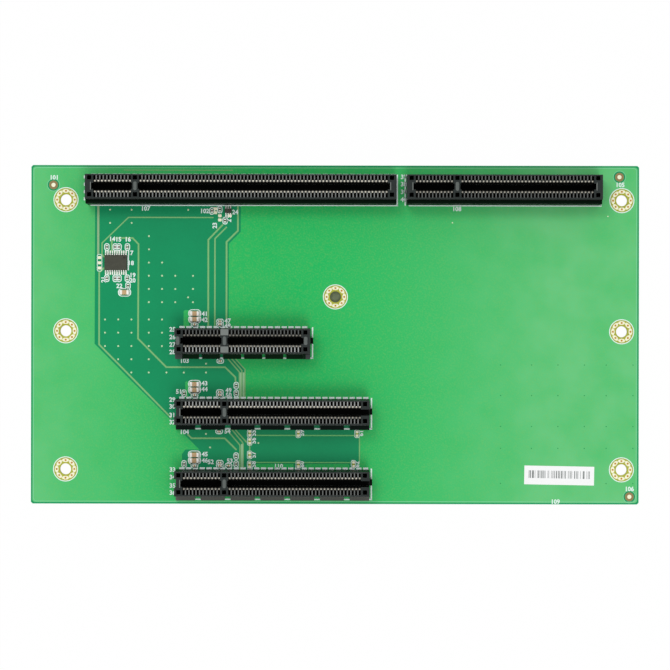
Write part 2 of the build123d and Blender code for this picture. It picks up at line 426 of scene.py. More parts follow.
def tin_finish(look):
    """Tinned metal with the soft ripple of reflowed solder."""
    return clouded_finish("tinned_metal", look.tin, shaded(look.tin, 0.86), 0.3, 0.5, (0.25, 0.012),
                          Metallic=0.05, Roughness=0.35)


def paper_finish(look):
    """Coated label paper with faint fibres."""
    return clouded_finish("label_paper", look.paper, shaded(look.paper, 0.93), 0.4, 0.8, (0.2, 0.003),
                          Roughness=0.55)


def bar_finish(look):
    """Printed grey bars, uneven as a worn print head leaves them."""
    return clouded_finish("label_bars", look.bar, display(150, 156, 154), 0.5, 0.9, Roughness=0.6)


# Shapes as whole arrays


def grid_faces(rows, columns, wrap_rows):
    """Quads of a grid whose columns run round; the rows join up too where wrap_rows is set."""
    row, column = np.meshgrid(np.arange(rows if wrap_rows else rows - 1), np.arange(columns), indexing="ij")
    next_row, next_column = (row + 1) % rows, (column + 1) % columns
    corners = [row * columns + column, row * columns + next_column,
               next_row * columns + next_column, next_row * columns + column]
    return np.stack(corners, -1).reshape(-1, 4).tolist()


def carried(sections, closed=False):
    """A closed profile carried along a path: stations by points round by 3; open ends get a cap."""
    stations, around = sections.shape[:2]
    faces = grid_faces(stations, around, closed)
    if not closed:
        last = (stations - 1) * around
        faces += [list(range(around)), list(range(last, last + around))]
    return sections.reshape(-1, 3), faces


def raised(flat, heights):
    """Flat rounds (stations by points by 2) with their heights as the third coordinate."""
    return np.concatenate([flat, np.broadcast_to(heights, (*flat.shape[:2], 1))], 2)


def round_stack(radius, levels, steps):
    """A circle carried up through levels of (height, share of its radius)."""
    levels = np.asarray(levels, float)
    flat = circle(radius, steps)[None] * levels[:, 1, None, None]
    return carried(raised(flat, levels[:, 0, None, None]))


def block(half_x, half_y, levels, radius, steps=2):
    """A rounded rectangle carried up through levels of (height, inset from its full size)."""
    outlines = [rounded_outline(half_x - inset, half_y - inset, max(radius - inset, radius / 4), steps)
                for _, inset in levels]
    return carried(raised(np.stack(outlines), np.array([z for z, _ in levels])[:, None, None]))


def rounded_outline(half_x, half_y, radius, steps=2):
    """Rectangle whose corners are quarter circles, each about its own centre."""
    angles = (np.arange(4)[:, None] * np.pi / 2 + np.linspace(0, np.pi / 2, steps + 1)).ravel()
    side_x = np.repeat([1, -1, -1, 1], steps + 1) * (half_x - radius)
    side_y = np.repeat([1, 1, -1, -1], steps + 1) * (half_y - radius)
    return np.stack([side_x + radius * np.cos(angles), side_y + radius * np.sin(angles)], 1)


def circle(radius, steps):
    """Round outline of points (radius cos a, radius sin a)."""
    angles = np.linspace(0, 2 * np.pi, steps, endpoint=False)
    return radius * np.stack([np.cos(angles), np.sin(angles)], 1)


def revolved(profile, steps):
    """A closed profile of (radius, height) turned once round Z."""
    angles = np.linspace(0, 2 * np.pi, steps, endpoint=False)[:, None]
    radius, height = np.asarray(profile, float).T
    sections = np.stack([radius * np.cos(angles), radius * np.sin(angles),
                         np.broadcast_to(height, (steps, len(height)))], 2)
    return carried(sections, closed=True)


def flat_ring(inner, outer, low, high, steps=32):
    """A washer between two radii and two heights."""
    return revolved([(inner, low), (inner, high), (outer, high), (outer, low)], steps)


# The sloping sides of a line as a share of its width, and the limit to how far a sharp corner reaches
SLOPE_SHARE, LEAST_COSINE = 0.15, 0.3


def line_strip(points, width, low, high, closed=False):
    """A four-sided strip along a flat path: each corner's offset runs along the bisector of its
    neighbours' normals, lengthened by one over the cosine of half the turn."""
    points = np.asarray(points, float)
    steps = (np.roll(points, -1, 0) - points) if closed else np.diff(points, axis=0)
    ahead = steps / np.linalg.norm(steps, axis=1, keepdims=True)
    if closed:
        before = np.roll(ahead, 1, 0)
    else:
        before, ahead = np.vstack([ahead[:1], ahead]), np.vstack([ahead, ahead[-1:]])
    normal_before = np.stack([-before[:, 1], before[:, 0]], 1)
    bisector = normal_before + np.stack([-ahead[:, 1], ahead[:, 0]], 1)
    bisector /= np.linalg.norm(bisector, axis=1, keepdims=True)
    turn_cosine = np.sum(bisector * normal_before, axis=1, keepdims=True)
    side = bisector / np.maximum(turn_cosine, LEAST_COSINE)
    slope = min(width * SLOPE_SHARE, high - low)
    across = np.array([-width / 2, slope - width / 2, width / 2 - slope, width / 2])
    flat = points[:, None] + side[:, None] * across[None, :, None]
    return carried(raised(flat, np.array([low, high, high, low])[None, :, None]), closed)


def bent_strip(path, width, thickness):
    """A flat strip bent in the YZ plane along path, its rectangle kept square to the path."""
    path = np.asarray(path, float)
    along = np.gradient(path, axis=0)
    along /= np.linalg.norm(along, axis=1, keepdims=True)
    normal = np.stack([-along[:, 1], along[:, 0]], 1) * thickness / 2
    outer, inner = path + normal, path - normal
    half = np.full((len(path), 1), width / 2)
    corners = [np.hstack([-half, outer]), np.hstack([half, outer]),
               np.hstack([half, inner]), np.hstack([-half, inner])]
    return carried(np.stack(corners, 1))


def smooth_path(points, count):
    """A curve through points: each of its coordinates is a cubic between them with even tangents."""
    points = np.asarray(points, float)
    tangents = np.gradient(points, axis=0)
    place = np.linspace(0, len(points) - 1, count)
    first = np.minimum(place.astype(int), len(points) - 2)
    t = (place - first)[:, None]
    start, end = points[first], points[first + 1]
    return ((2 * t**3 - 3 * t**2 + 1) * start + (t**3 - 2 * t**2 + t) * tangents[first]
            + (3 * t**2 - 2 * t**3) * end + (t**3 - t**2) * tangents[first + 1])


def copies(shape, places, turns=0.0, mirror_y=None):
    """The shape once at each place (k by 3), turned about Z, and mirrored across Y where told."""
    points, faces = shape
    places = np.asarray(places, float).reshape(-1, 3)
    turns = np.broadcast_to(np.asarray(turns, float), len(places))
    sign = np.ones(len(places)) if mirror_y is None else np.asarray(mirror_y, float)
    x, y, z = points[:, 0][None], points[:, 1][None] * sign[:, None], points[:, 2][None]
    cosine, sine = np.cos(turns)[:, None], np.sin(turns)[:, None]
    turned = np.stack([x * cosine - y * sine, x * sine + y * cosine, np.broadcast_to(z, y.shape)], 2)
    moved = (turned + places[:, None]).reshape(-1, 3)
    starts = np.arange(len(places))[:, None] * len(points)
    return moved, [corner for face in faces for corner in (starts + np.array(face)).tolist()]


def both_rows(shape, along, middle):
    """The shape once at each place along a slot, and mirrored for the row across from it."""
    both = np.tile(along, 2)
    places = np.column_stack([both, np.full(len(both), middle), np.zeros(len(both))])
    return copies(shape, places, mirror_y=np.repeat([1, -1], len(along)))


def joined(shapes):
    """Several shapes as one."""
    points, faces, start = [], [], 0
    for shape_points, shape_faces in shapes:
        points.append(shape_points)
        faces += [[corner + start for corner in face] for face in shape_faces]
        start += len(shape_points)
    return np.concatenate(points), faces


def shifted(shape, x=0.0, y=0.0, z=0.0):
    """The shape moved along the three axes."""
    return shape[0] + np.array([x, y, z]), shape[1]


def solids_of(node):
    """Lowest and highest corners of each separate solid in a CAD node, as two arrays.

    Corners at one place share a number, and the lower of two numbers spreads along each triangle
    until every solid has one number of its own."""
    mesh = frame["nodes"][node].data
    corners = np.empty(len(mesh.vertices) * 3, np.float32)
    mesh.vertices.foreach_get("co", corners)
    triangles = np.empty(len(mesh.loops), np.int32)
    mesh.loops.foreach_get("vertex_index", triangles)
    grid = 0.01 * MM
    spots, which = np.unique(np.round(corners.reshape(-1, 3) / grid), axis=0, return_inverse=True)
    triangles = which.ravel()[triangles].reshape(-1, 3)
    label, previous = np.arange(len(spots)), None
    while previous is None or (label != previous).any():
        previous = label.copy()
        lowest = label[triangles].min(1)
        for side in range(3):
            np.minimum.at(label, triangles[:, side], lowest)
    numbers, group = np.unique(label, return_inverse=True)
    low = np.full((len(numbers), 3), np.inf)
    high = -low
    np.minimum.at(low, group, spots * grid)
    np.maximum.at(high, group, spots * grid)
    return low, high


def make_piece(name, shape, finish, stands_for=(), smooth=None):
    """A new piece of the object from a shape, with its faces turned outwards."""
    points, faces = shape
    mesh = bpy.data.meshes.new(name)
    mesh.from_pydata(points.tolist(), [], faces)
    cleaned = bmesh.new()
    cleaned.from_mesh(mesh)
    bmesh.ops.recalc_face_normals(cleaned, faces=cleaned.faces)
    cleaned.to_mesh(mesh)
    cleaned.free()
    if smooth is not None:
        mesh.shade_smooth()
        mesh.set_sharp_from_angle(angle=math.radians(smooth))
    mesh.materials.append(finish.material)
    piece = bpy.data.objects.new(name, mesh)
    bpy.context.scene.collection.objects.link(piece)
    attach(piece, "root")
    if stands_for:
        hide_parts(*stands_for)
    return piece


def filled_layer(outlines, low, high):
    """A flat layer between two heights, filled between its outlines, so that an inner one is a hole."""
    curve = bpy.data.curves.new("layer", "CURVE")
    curve.dimensions = "2D"
    curve.fill_mode = "BOTH"
    curve.extrude = (high - low) / 2
    for outline in outlines:
        spline = curve.splines.new("POLY")
        spline.points.add(len(outline) - 1)
        flat = np.zeros((len(outline), 4))
        flat[:, :2] = outline
        flat[:, 3] = 1.0
        spline.points.foreach_set("co", flat.ravel())
        spline.use_cyclic_u = True
    return shifted(curve_shape(curve), z=(low + high) / 2)


def curve_shape(curve):
    """Points and faces of a flat curve or a text."""
    holder = bpy.data.objects.new("holder", curve)
    bpy.context.scene.collection.objects.link(holder)
    bpy.context.view_layer.update()
    mesh = bpy.data.meshes.new_from_object(holder)
    points = np.empty(len(mesh.vertices) * 3)
    mesh.vertices.foreach_get("co", points)
    faces = [list(face.vertices) for face in mesh.polygons]
    bpy.data.objects.remove(holder)
    bpy.data.meshes.remove(mesh)
    return points.reshape(-1, 3), faces


# Font size and thickening of a printed number, as shares of the height of its figures
FONT_SIZE, FONT_WEIGHT = 1.4, 0.045


def number_shape(text, height, thickness):
    """A plain number, centred on its place, as a thin flat layer."""
    curve = bpy.data.curves.new("number", "FONT")
    curve.body = text
    curve.size = height * FONT_SIZE
    curve.extrude = thickness / 2
    curve.offset = height * FONT_WEIGHT
    curve.align_x = "CENTER"
    curve.align_y = "CENTER"
    curve.resolution_u = 2
    return curve_shape(curve)


# Places read from the frame


def in_mm(places):
    """Places given in millimetres, as an array in metres."""
    return np.asarray(places, float) * MM


def slot_places(name):
    """Contact places of a slot along X, and its middle line across the board."""
    low, high = solids_of("slot_contacts_" + name)
    grid = 0.05 * MM
    along = np.unique(np.round((low[:, 0] + high[:, 0]) / 2 / grid)) * grid
    return along, float((low[:, 1].min() + high[:, 1].max()) / 2)


def paired(low, high):
    """Boxes of neighbouring end caps, put together two and two along X."""
    order = np.lexsort((low[:, 0], np.round(low[:, 1] / MM, 1)))
    low, high = low[order].reshape(-1, 2, 3), high[order].reshape(-1, 2, 3)
    return low.min(1), high.max(1)


def hole_centres():
    """Centres of the seven screw holes, from the record's mounts."""
    mounts = {mount["name"]: mount for mount in frame["record"]["mounts"]}
    corner, middle, centre = (mounts[n] for n in ("corner_holes", "middle_holes", "center_hole"))
    half_x = corner["dims"]["spacing_x_mm"] * MM / 2
    half_y = corner["dims"]["spacing_y_mm"] * MM / 2
    found = [(corner["pos_m"][0] + sx * half_x, corner["pos_m"][1] + sy * half_y)
             for sx in (-1, 1) for sy in (-1, 1)]
    found += [(middle["pos_m"][0] + sx * half_x, middle["pos_m"][1]) for sx in (-1, 1)]
    found.append(tuple(centre["pos_m"][:2]))
    return np.array(found)


HOLES = hole_centres()
HOLE_RADIUS = 1.65 * MM
HOLE_CLEARANCE = HOLE_RADIUS * 1.12
RING_RADIUS = 3.32 * MM
RING_RADIUS_BELOW = 3.15 * MM
OVAL_RADIUS = 2.53 * MM
SIGHTING_MARKS = in_mm([(-81.1, 43.0), (81.8, 45.5), (84.8, -46.5)])
MARK_CLEARANCE = 1.65 * MM

# Where no copper lies under the mask, in millimetres from the board's middle
BARE_REGION = [
    (-69.1, 39.5), (-69.2, -2.7), (-60.3, -11.7), (-47.0, -24.8), (-43.5, -28.6), (-39.0, -33.1),
    (-43.0, -33.1), (-44.0, -34.4), (-44.0, -40.5), (6.9, -40.5), (6.9, -25.5), (-25.7, -25.5),
    (-25.7, -10.0), (-28.7, -7.2), (-28.7, 0.0), (-30.6, 0.0), (-30.6, 26.1), (-27.2, 29.6), (-27.2, 39.5),
]
COPPER_PATCHES = [(-43.6, -42.0, 2.1, 7.0), (-43.1, -42.2, -18.4, -13.5), (-22.9, -11.8, -38.6, -37.2),
                  (-8.5, 4.2, -38.6, -37.2)]

# Traces as (width, points), in millimetres from the board's middle, and how much of the width shows
TRACE_SHARE = 0.85
TRACES = [
    (0.45, [(-35.0, 33.7), (-59.5, 33.7), (-67.1, 26.3), (-67.1, 23.1), (-66.3, 22.1)]),
    (0.58, [(-64.3, 23.9), (-64.3, 26.8), (-63.6, 27.75), (-58.3, 27.75), (-56.6, 26.0), (-56.7, -1.2),
            (-48.55, -9.4), (-31.6, -9.4), (-28.65, -12.3), (-28.6, -13.75)]),
    (0.58, [(-66.4, 19.2), (-67.9, 17.8), (-67.9, -2.9), (-59.2, -11.7), (-47.0, -24.1)]),
    (0.58, [(-42.4, -28.7), (-41.2, -29.85), (-31.7, -29.85), (-28.3, -33.2)]),
    (0.6, [(-32.3, 31.7), (-36.5, 27.3), (-36.5, 0.5)]),
    (0.52, [(-31.2, 31.0), (-34.6, 27.6), (-34.6, 0.5)]),
    (0.63, [(-28.0, 38.5), (-28.0, 29.9), (-31.25, 26.7), (-31.25, 0.5)]),
    (0.45, [(-31.3, -6.4), (-27.5, -10.8), (-27.5, -18.5)]),
    (0.45, [(-30.2, -6.4), (-26.8, -10.3), (-26.8, -18.5)]),
    (0.42, [(-29.0, -6.6), (-25.9, -10.0), (-25.9, -18.5)]),
    (0.45, [(-29.0, -27.0), (-25.5, -30.9), (-24.5, -30.9)]),
    (0.45, [(-31.0, -27.5), (-27.5, -31.6), (-27.3, -32.0), (-27.3, -39.0)]),
    (0.45, [(-29.9, -27.0), (-26.6, -31.0), (-26.4, -31.5), (-26.4, -39.0)]),
    (0.42, [(7.1, -29.6), (7.1, -36.5)]),
    (0.45, [(-24.5, -31.2), (-24.5, -33.6)]),
    (0.35, [(-60.9, 47.3), (-29.5, 47.3)]),
]
GREEN_TRACES = [(0.42, [(-22.9, -29.0), (5.8, -29.0)]), (0.42, [(-22.9, -36.8), (4.75, -36.8)])]
GREY_TRACES = [(0.75, [(-68.2, 38.5), (-68.2, 23.0)])]
PALE_BANDS = [(0.5, [(-27.15, -10.9), (-27.15, -18.4)]), (0.5, [(-26.3, -10.9), (-26.3, -18.4)]),
              (0.7, [(-26.7, -31.5), (-26.7, -38.6)])]

# Columns of via dots as (x, heights), in millimetres from the board's middle
PALE_VIAS = [
    (-66.2, (4.3, 0.5, -3.35)), (-62.4, (4.3, 0.5, -3.35, -7.15)),
    (-58.6, (35.9, 32.1, 4.3, 0.5, -3.35, -7.15, -10.95)), (-64.8, (35.9, 32.1)),
    (-53.6, (28.3, 24.5, 20.7, 16.9, 13.1, 9.3, 4.3, 0.5, -3.35, -7.15, -10.95)),
    (-49.8, (20.7, 16.9, 13.1, 9.3, 4.3, 0.5, -3.35)), (-46.0, (16.9, 13.1, 9.3)),
    (-40.9, (16.9, 13.1, 9.3)), (-48.5, (-10.95,)), (-43.5, (-10.95,)), (-37.1, (-10.95, -8.4, -28.6)),
    (-42.3, (35.9, 10.7)), (-35.9, (-32.5,)), (-22.0, (-31.2,)),
]
VIA_RADIUS = 0.27 * MM
PLANE_VIA_RADIUS = 0.17 * MM
PLANE_VIA_XS = (47.7, 56.6, 64.2, 71.8, 78.1, 85.8)
PLANE_VIA_YS = (-8.6, -17.4, -26.3, -32.6, -42.7)
WHITE_DOTS = [(33.75, 32.3), (78.5, 34.2)]

# Plated pads as (x, y), in millimetres from the board's middle
PAD_PAIRS = [(-24.5, -28.4), (-24.5, -30.7), (-24.5, -34.65), (-24.5, -37.5), (-10.5, -28.5), (-10.5, -37.4),
             (6.4, -28.5), (5.4, -37.3)]
SINGLE_PADS = [(-67.8, 22.1), (-67.8, 20.6), (-67.8, 19.1), (-34.5, 36.2), (-34.5, 35.1), (-33.2, 34.2),
               (-33.2, 33.0), (-30.3, 34.3)]

# Plain numbers printed beside parts, as (number, x, y, quarter turns)
NUMBERS = [
    ("14", -64.2, 27.4, 0), ("15", -62.4, 27.3, 0), ("16", -59.7, 27.3, 0), ("17", -59.0, 23.4, 0),
    ("18", -58.8, 20.5, 0), ("19", -58.3, 17.0, 0), ("20", -58.3, 15.5, 0), ("21", -66.6, 15.8, 1),
    ("22", -62.1, 13.9, 0), ("101", -80.9, 45.1, 0), ("102", -37.6, 35.5, 0), ("23", -34.6, 31.4, 1),
    ("2", -30.5, 32.8, 1), ("24", -28.8, 35.2, 0), ("103", -43.3, -7.6, 0), ("104", -43.3, -28.1, 0),
    ("105", 82.0, 43.2, 0), ("106", 84.8, -44.3, 0), ("107", -54.6, 36.2, 0), ("108", 35.0, 36.2, 0),
    ("109", 63.5, -48.0, 0), ("110", -16.2, -37.9, 0), ("41", -37.5, 5.9, 0), ("42", -37.5, 4.2, 0),
    ("43", -37.5, -14.1, 0), ("44", -37.5, -15.8, 0), ("45", -37.4, -34.5, 0), ("46", -37.4, -36.3, 0),
    ("47", -30.9, 3.9, 0), ("48", -30.9, 2.5, 0), ("49", -30.6, -16.1, 0), ("50", -30.6, -17.5, 0),
    ("51", -44.9, -16.5, 0), ("52", -35.7, -36.7, 0), ("53", -30.2, -36.4, 0), ("54", -30.9, -27.9, 0),
    ("55", -23.3, -28.3, 1), ("56", -23.3, -30.5, 1), ("57", -23.3, -34.6, 1), ("58", -23.3, -37.3, 1),
    ("59", -9.4, -28.3, 1), ("60", -9.4, -37.3, 1), ("61", 7.6, -28.3, 1), ("62", 6.5, -37.3, 1),
]
NUMBERS += [(str(first + place), x, y, 0) for first, x, heights in (
    (25, -46.8, (1.4, -0.8, -2.95, -5.1)), (29, -46.8, (-18.8, -20.8, -23.25, -25.3)),
    (33, -46.7, (-38.95, -41.1, -43.55, -45.6)), (37, 19.7, (45.4, 43.3, 41.1, 38.9)),
) for place, y in enumerate(heights)]

# Painted light of each slot in parts of 255, north row first: the grey of its ribs and the brightness of its
# tips are painted highlights; its foot or step is painted shade, most of it tinted green by a painted
# reflection of the board, and painted light on the lowest slot
PAINTED_SLOT_LIGHT = {
    "16_lane": {"ribs": (120, 128), "tips": (246, 232), "ledge_light_and_shade": (2, 20, 8)},
    "8_lane_upper": {"ribs": (100, 94), "tips": (212, 184), "ledge_light_and_shade": (2, 20, 8)},
    "4_lane": {"ribs": (86, 168), "tips": (150, 176), "ledge_light_and_shade": (12, 40, 20)},
    "8_lane_middle": {"ribs": (164, 122), "tips": (246, 176), "ledge_light_and_shade": (14, 27, 22)},
    "8_lane_lower": {"ribs": (122, 108), "tips": (226, 196), "ledge_light_and_shade": (95, 97, 92)},
}

# Printed lines of the lower and the upper slots, in millimetres: how far north and how far south of the
# middle line they run, and how far past the right end. The last is a dash's share of the outline's width.
LOWER_PRINT = (3.9, 5.0, -0.2, 1.35)
UPPER_PRINT = (3.92, 4.96, 0.4, 0.8)

# The contacts' tails, nearer to and farther from a slot's middle line in turn
NEAR_TAIL, FAR_TAIL = 1.1 * MM, 3.1 * MM

# How white the floor shows to the camera and in gloss, and each lamp's place in metres and share of power
SEEN_WHITE, MIRRORED_WHITE = 0.98, 0.5
FLOOR_GAP = 0.3 * MM
LAMPS = {"south_lamp": ((0.12, -0.5, 1.35), 0.75), "north_lamp": ((-0.3, 0.5, 1.3), 0.68)}


def edge_rounded(node, width):
    """Merges a CAD node's loose corners and rounds its edges, both as modifiers."""
    obj = frame["nodes"][node]
    weld = obj.modifiers.new("merge_corners", "WELD")
    weld.merge_threshold = 0.001 * MM
    bevel = obj.modifiers.new("round_edges", "BEVEL")
    bevel.width = width
    bevel.segments = 1
    bevel.limit_method = "ANGLE"
    bevel.angle_limit = math.radians(40)
    bevel.use_clamp_overlap = True
    bevel.material = 1


def finish_node(node, *finishes):
    """Gives a CAD node its finishes through its own material slots: the second is for rounded edges."""
    mesh = frame["nodes"][node].data
    mesh.materials.clear()
    for finish in finishes:
        mesh.materials.append(finish.material)


# Operators


def on_board(places, rise=0.0):
    """Flat places as rows of x, y and a height above the board's top."""
    places = np.asarray(places, float).reshape(-1, 2)
    return np.column_stack([places, np.full(len(places), BOARD_TOP + rise)])


def print_line(look, points, width, closed=False):
    """A printed line along points, from the board's top to the ink's height."""
    return line_strip(points, width, BOARD_TOP, BOARD_TOP + look.ink_rise, closed)


class BACKPLANE_OT_board(bpy.types.Operator):
    """Finishes the board and rounds its cut edges a little"""

    bl_idname = "backplane.board"
    bl_label = "Board"

    def execute(self, context):
        look = context.scene.board_look
        edge = plain_mask_finish("board_edge", look.edge)
        finish_node("circuit_board", bare_mask_finish(look), edge)
        edge_rounded("circuit_board", look.edge_round)
        return {"FINISHED"}


class BACKPLANE_OT_copper_planes(bpy.types.Operator):
    """Lays the copper planes under the mask, on top and below"""

    bl_idname = "backplane.copper_planes"
    bl_label = "Copper planes"

    def execute(self, context):
        look = context.scene.board_look
        margin, rise, sunk = look.copper_margin, look.copper_rise, 0.01 * MM
        outer = rounded_outline(BOARD_HIGH.x - margin, BOARD_HIGH.y - margin, 0.8 * MM, 6)
        clear_of_holes = [circle(HOLE_CLEARANCE, 32) + centre for centre in HOLES]
        clear_of_marks = [circle(MARK_CLEARANCE, 32) + centre for centre in SIGHTING_MARKS]
        outlines = [outer, in_mm(BARE_REGION), *clear_of_holes, *clear_of_marks]
        top = filled_layer(outlines, BOARD_TOP - sunk, BOARD_TOP + rise)
        patches = []
        for left, right, south, north in in_mm(COPPER_PATCHES):
            patch = block((right - left) / 2, (north - south) / 2, [(-sunk, 0), (rise, 0)], 0.4 * MM)
            patches.append(shifted(patch, (left + right) / 2, (south + north) / 2, BOARD_TOP))
        under = filled_layer([outer, *clear_of_holes], BOARD_LOW.z - rise, BOARD_LOW.z + sunk)
        finish = copper_mask_finish(look)
        make_piece("copper_planes", joined([top, *patches]), finish)
        make_piece("copper_plane_below", under, finish)
        return {"FINISHED"}


class BACKPLANE_OT_traces(bpy.types.Operator):
    """Lays the traces, the wide grey ones among them, and a painted highlight line along the copper's raised
    edge near the board's edge
    """

    bl_idname = "backplane.traces"
    bl_label = "Traces"

    def execute(self, context):
        look = context.scene.board_look
        low, high = BOARD_TOP - 0.005 * MM, BOARD_TOP + look.trace_rise
        for name, lines, base, share, top in (
                ("traces", TRACES, look.trace, TRACE_SHARE, high),
                ("green_traces", GREEN_TRACES, display(122, 204, 122), TRACE_SHARE, high),
                ("grey_traces", GREY_TRACES, display(150, 190, 140), TRACE_SHARE, high),
                ("pale_bands", PALE_BANDS, display(160, 208, 158), 1.0, high + 0.01 * MM)):
            strips = [line_strip(in_mm(points), share * width * MM, low, top) for width, points in lines]
            make_piece(name, joined(strips), plain_mask_finish(name, base))
        # The pale line inside the copper's margin is a painted highlight of the copper's raised edge.
        inset = look.copper_margin + 0.3 * MM
        edge = rounded_outline(BOARD_HIGH.x - inset, BOARD_HIGH.y - inset, 0.9 * MM, 6)
        finish = plain_mask_finish("copper_edge_highlight", look.edge)
        make_piece("copper_edge_highlight", line_strip(edge, 0.25 * MM, low, high, closed=True), finish)
        return {"FINISHED"}


class BACKPLANE_OT_vias(bpy.types.Operator):
    """Sets the pale vias on the bare laminate and the filled ones in the copper planes"""

    bl_idname = "backplane.vias"
    bl_label = "Vias"

    def execute(self, context):
        look = context.scene.board_look
        dot = round_stack(VIA_RADIUS, [(0, 1.0), (0.03 * MM, 0.9), (0.035 * MM, 0.5)], 12)
        spots = in_mm([(x, y) for x, heights in PALE_VIAS for y in heights])
        pale = plain_mask_finish("pale_vias", display(204, 232, 186))
        make_piece("pale_vias", copies(dot, on_board(spots)), pale)
        small = round_stack(PLANE_VIA_RADIUS, [(0, 1.0), (0.008 * MM, 0.9)], 10)
        spots = in_mm([(x, y) for x in PLANE_VIA_XS for y in PLANE_VIA_YS])
        filled = plain_mask_finish("mask_filled_vias", display(36, 150, 80))
        make_piece("plane_vias", copies(small, on_board(spots, look.copper_rise)), filled)
        spots = on_board(in_mm(WHITE_DOTS), look.copper_rise)
        make_piece("plated_dots", copies(small, spots), solder_finish(look))
        return {"FINISHED"}


class BACKPLANE_OT_hole_rings(bpy.types.Operator):
    """Makes the plated ring of each screw hole, its eight tinned ovals and their vias"""

    bl_idname = "backplane.hole_rings"
    bl_label = "Screw hole rings"

    def execute(self, context):
        look = context.scene.board_look
        gold, solder = plating_finish(look), solder_finish(look)
        face, back = BOARD_TOP + look.copper_rise + 0.02 * MM, BOARD_LOW.z - 0.03 * MM
        sheet, bore = 0.03 * MM, HOLE_RADIUS - 0.04 * MM
        lining = revolved([(bore, back), (bore, face), (RING_RADIUS, face), (RING_RADIUS, face - sheet),
                           (HOLE_RADIUS, face - sheet), (HOLE_RADIUS, back + 0.02 * MM),
                           (RING_RADIUS_BELOW, back + 0.02 * MM), (RING_RADIUS_BELOW, back)], 48)
        spots = np.column_stack([HOLES, np.zeros(len(HOLES))])
        make_piece("hole_rings", copies(lining, spots), gold, smooth=30)
        oval, via = np.array([0.56, 1.02]) * MM, 0.3 * MM
        levels = [(0.0, oval), (0.07, oval * 0.9), (0.1, oval * 0.7), (0.09, via), (0.0, via)]
        rounds = np.stack([circle(1.0, 14) * reach for _, reach in levels])
        sections = raised(rounds, in_mm([rise for rise, _ in levels])[:, None, None])
        angles = np.arange(8) * np.pi / 4
        places = on_board(HOLES[:, None] + circle(OVAL_RADIUS, 8)[None], face - BOARD_TOP)
        turns = np.tile(angles, len(HOLES))
        ovals = copies(carried(sections), places, turns)
        make_piece("ring_ovals", ovals, solder, smooth=50)
        plug = round_stack(via, [(0.0, 1.0), (0.1 * MM, 1.0), (0.12 * MM, 0.7)], 10)
        brown = clouded_finish("via_plugs", display(206, 152, 6), display(164, 112, 8), 0.2, Roughness=0.5)
        make_piece("ring_vias", copies(plug, places, turns), brown, smooth=50)
        return {"FINISHED"}


class BACKPLANE_OT_pads(bpy.types.Operator):
    """Makes the small tinned pads, in pairs across a plated gap or alone"""

    bl_idname = "backplane.pads"
    bl_label = "Pads"

    def execute(self, context):
        look = context.scene.board_look
        levels = [(0, 0), (0.05 * MM, 0), (0.07 * MM, 0.05 * MM)]
        half = block(0.4 * MM, 0.34 * MM, levels, 0.12 * MM)
        wide = block(0.5 * MM, 0.42 * MM, levels, 0.12 * MM)
        gaps, offset = in_mm(PAD_PAIRS), in_mm([0, 0.55])
        pairs = np.stack([gaps - offset, gaps + offset], 1)
        shape = joined([copies(half, on_board(pairs)), copies(wide, on_board(in_mm(SINGLE_PADS)))])
        make_piece("bare_pads", shape, solder_finish(look))
        bridge = block(0.34 * MM, 0.3 * MM, [(0, 0), (0.045 * MM, 0)], 0.05 * MM)
        make_piece("pad_gaps", copies(bridge, on_board(gaps)), plating_finish(look))
        return {"FINISHED"}


class BACKPLANE_OT_sighting_marks(bpy.types.Operator):
    """Makes the round sighting marks: a bright disc on a ring of bare laminate"""

    bl_idname = "backplane.sighting_marks"
    bl_label = "Sighting marks"

    def execute(self, context):
        look = context.scene.board_look
        spots = on_board(SIGHTING_MARKS)
        disc = round_stack(0.6 * MM, [(0, 1.0), (0.03 * MM, 1.0), (0.035 * MM, 0.95)], 24)
        make_piece("sighting_discs", copies(disc, spots), solder_finish(look))
        ring = flat_ring(0.5 * MM, 1.28 * MM, 0.0, 0.012 * MM)
        make_piece("sighting_rings", copies(ring, spots), fibre_finish(look))
        rim = flat_ring(1.68 * MM, 1.86 * MM, 0.0, 0.03 * MM)
        pale = plain_mask_finish("sighting_rims", look.edge)
        make_piece("sighting_rims", copies(rim, spots), pale)
        return {"FINISHED"}


class BACKPLANE_OT_slot_print(bpy.types.Operator):
    """Prints the white lines round the slots and the screw holes"""

    bl_idname = "backplane.slot_print"
    bl_label = "Slot and hole print"

    def execute(self, context):
        look = context.scene.print_look
        ink = ink_finish(look)
        shapes = [shape for name in SLOTS for shape in self.slot_lines(look, name)]
        make_piece("slot_outlines", joined(shapes), ink)
        ring = flat_ring(3.36 * MM, 3.6 * MM, 0.0, look.ink_rise, 48)
        make_piece("printed_rings", copies(ring, on_board(HOLES)), ink)
        return {"FINISHED"}

    def slot_lines(self, look, name):
        """Dashes along the north side, a line down the right side, and what each slot has elsewhere."""
        low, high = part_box("slot_housing_" + name)
        _, middle = slot_places(name)
        width = look.outline_width
        to_north, to_south, past_end, dash_share = LOWER_PRINT if name in LOWER_SLOTS else UPPER_PRINT
        north, south = middle + to_north * MM, middle - to_south * MM
        left, right = low.x - 0.3 * MM, high.x + past_end * MM
        dash = print_line(look, [(0, 0), (look.dash, 0)], width * dash_share)
        along = np.arange(left + 1.2 * MM, right - look.dash, look.dash_step)
        shapes = [print_line(look, [(right, north), (right, south)], width),
                  print_line(look, [(left + 1.0 * MM, south), (right + width / 2, south)], width)]
        if name != "8_lane_upper":
            shapes.append(copies(dash, np.column_stack([along, np.full(len(along), north), 0 * along])))
        if name == "16_lane":
            mark = print_line(look, [(0, -0.45 * MM), (0, 0.45 * MM)], 0.4 * MM)
            shapes.append(copies(mark, in_mm([(-72.2, y, 0.0) for y in (45.3, 43.2, 41.05, 39.0)])))
        elif name == "8_lane_upper":
            shapes.append(print_line(look, [(left, north), (left, south)], width))
        return shapes


